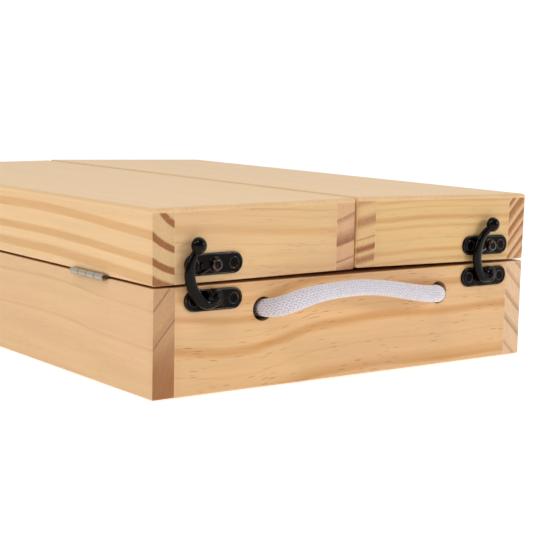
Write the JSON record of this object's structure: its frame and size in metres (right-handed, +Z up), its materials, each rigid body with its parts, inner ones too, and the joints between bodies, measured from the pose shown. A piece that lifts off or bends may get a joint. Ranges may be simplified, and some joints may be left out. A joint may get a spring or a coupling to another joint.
{
  "type": "double-lid table box easel",
  "caption": "Flat pine art box with twin side-hinged lids, swing-hook latches, rope handle and a fold-out table easel mast inside.",
  "frame": {"origin": "centre of the footprint, measured without the rope, on the plane that the box stands on", "axes": "+X to the right seen from the front, +Y from the front (hooks and rope) to the back, +Z up"},
  "size_m": [0.247, 0.3453, 0.0912],
  "materials": {
    "pine_base": "bare sanded pine, orange-tan",
    "pine_lid": "bare sanded pine, yellow-tan",
    "pine_lid_top": "pale sanded top skin",
    "plywood": "bare plywood",
    "inner_wood": "bare sanded beech",
    "antique_bronze": "dark antique cast finish, rubbed on the high spots",
    "nickel_steel": "nickel-plated",
    "brass_fittings": "brushed",
    "cotton_rope": "white braided cord"
  },
  "bodies": {
    "base": {"base_front_panel": "pine_base", "base_back_panel": "pine_base", "base_left_side": "pine_base", "base_right_side": "pine_base", "base_bottom_panel": "plywood", "center_divider": "inner_wood", "knot_guard_board": "inner_wood", "long_divider": "inner_wood", "cross_dividers": "inner_wood", "mast_beam": "inner_wood", "ratchet_rail": "inner_wood", "mast_brackets": "brass_fittings", "mast_pin": "nickel_steel", "left_latch_base_plate": "antique_bronze", "right_latch_base_plate": "antique_bronze", "hook_rivets": "antique_bronze", "latch_base_screws": "antique_bronze", "left_hinge_base_leaves": "nickel_steel", "right_hinge_base_leaves": "nickel_steel", "left_hinge_pins": "nickel_steel", "right_hinge_pins": "nickel_steel", "hinge_base_screws": "nickel_steel", "rope_knots": "cotton_rope", "rope_ends": "cotton_rope"},
    "left_lid": {"left_lid_front": "pine_lid", "left_lid_back": "pine_lid", "left_lid_outer_side": "pine_lid", "left_lid_seam_side": "pine_lid", "left_lid_top": "pine_lid_top", "left_catch_plate": "antique_bronze", "left_catch_screws": "antique_bronze", "left_hinge_lid_leaves": "nickel_steel", "left_hinge_lid_screws": "nickel_steel"},
    "right_lid": {"right_lid_front": "pine_lid", "right_lid_back": "pine_lid", "right_lid_outer_side": "pine_lid", "right_lid_seam_side": "pine_lid", "right_lid_top": "pine_lid_top", "right_catch_plate": "antique_bronze", "right_catch_screws": "antique_bronze", "right_hinge_lid_leaves": "nickel_steel", "right_hinge_lid_screws": "nickel_steel"},
    "left_hook": {"left_hook_arm": "antique_bronze"},
    "right_hook": {"right_hook_arm": "antique_bronze"},
    "handle": {"rope_handle": "cotton_rope"},
    "mast": {"mast_board": "inner_wood", "canvas_ledge": "inner_wood", "strut_blocks": "inner_wood", "strut_pins": "nickel_steel"},
    "strut": {"strut_bars": "inner_wood", "strut_foot_dowel": "inner_wood"},
    "clamp": {"canvas_clamp": "inner_wood", "clamp_bolt": "nickel_steel"},
    "knob": {"clamp_knob": "inner_wood"}
  },
  "joints": [
    {"name": "left_lid_hinge", "type": "hinge", "parent": "base", "child": "left_lid", "pos_m": [-0.1218, 0, 0.053], "axis": [0, -1, 0], "range_deg": [0, 180]},
    {"name": "right_lid_hinge", "type": "hinge", "parent": "base", "child": "right_lid", "pos_m": [0.1218, 0, 0.053], "axis": [0, 1, 0], "range_deg": [0, 180]},
    {"name": "left_hook_swing", "type": "hinge", "parent": "base", "child": "left_hook", "pos_m": [-0.0883, -0.1599, 0.047], "axis": [0, -1, 0], "range_deg": [-36, 68]},
    {"name": "right_hook_swing", "type": "hinge", "parent": "base", "child": "right_hook", "pos_m": [0.0915, -0.1599, 0.047], "axis": [0, -1, 0], "range_deg": [-19, 90]},
    {"name": "handle_swing", "type": "hinge", "parent": "base", "child": "handle", "pos_m": [0, -0.1648, 0.0388], "axis": [1, 0, 0], "range_deg": [-40, 84]},
    {"name": "mast_tilt", "type": "hinge", "parent": "base", "child": "mast", "pos_m": [-0.042, -0.1199, 0.042], "axis": [1, 0, 0], "range_deg": [0, 65]},
    {"name": "strut_swing", "type": "hinge", "parent": "mast", "child": "strut", "pos_m": [-0.042, -0.0399, 0.034], "axis": [1, 0, 0], "range_deg": [-102, 0]},
    {"name": "clamp_slide", "type": "slide", "parent": "mast", "child": "clamp", "axis": [0, 1, 0], "range_m": [-0.07, 0.09]},
    {"name": "knob_turn", "type": "hinge", "parent": "clamp", "child": "knob", "pos_m": [-0.042, 0.0151, 0.06], "axis": [0, 0, 1], "continuous": true}
  ],
  "couplings": [
    {"joint": "mast_tilt", "follows": "left_lid_hinge", "ratio": 0.36111},
    {"joint": "strut_swing", "follows": "left_lid_hinge", "ratio": -0.56611}
  ]
}
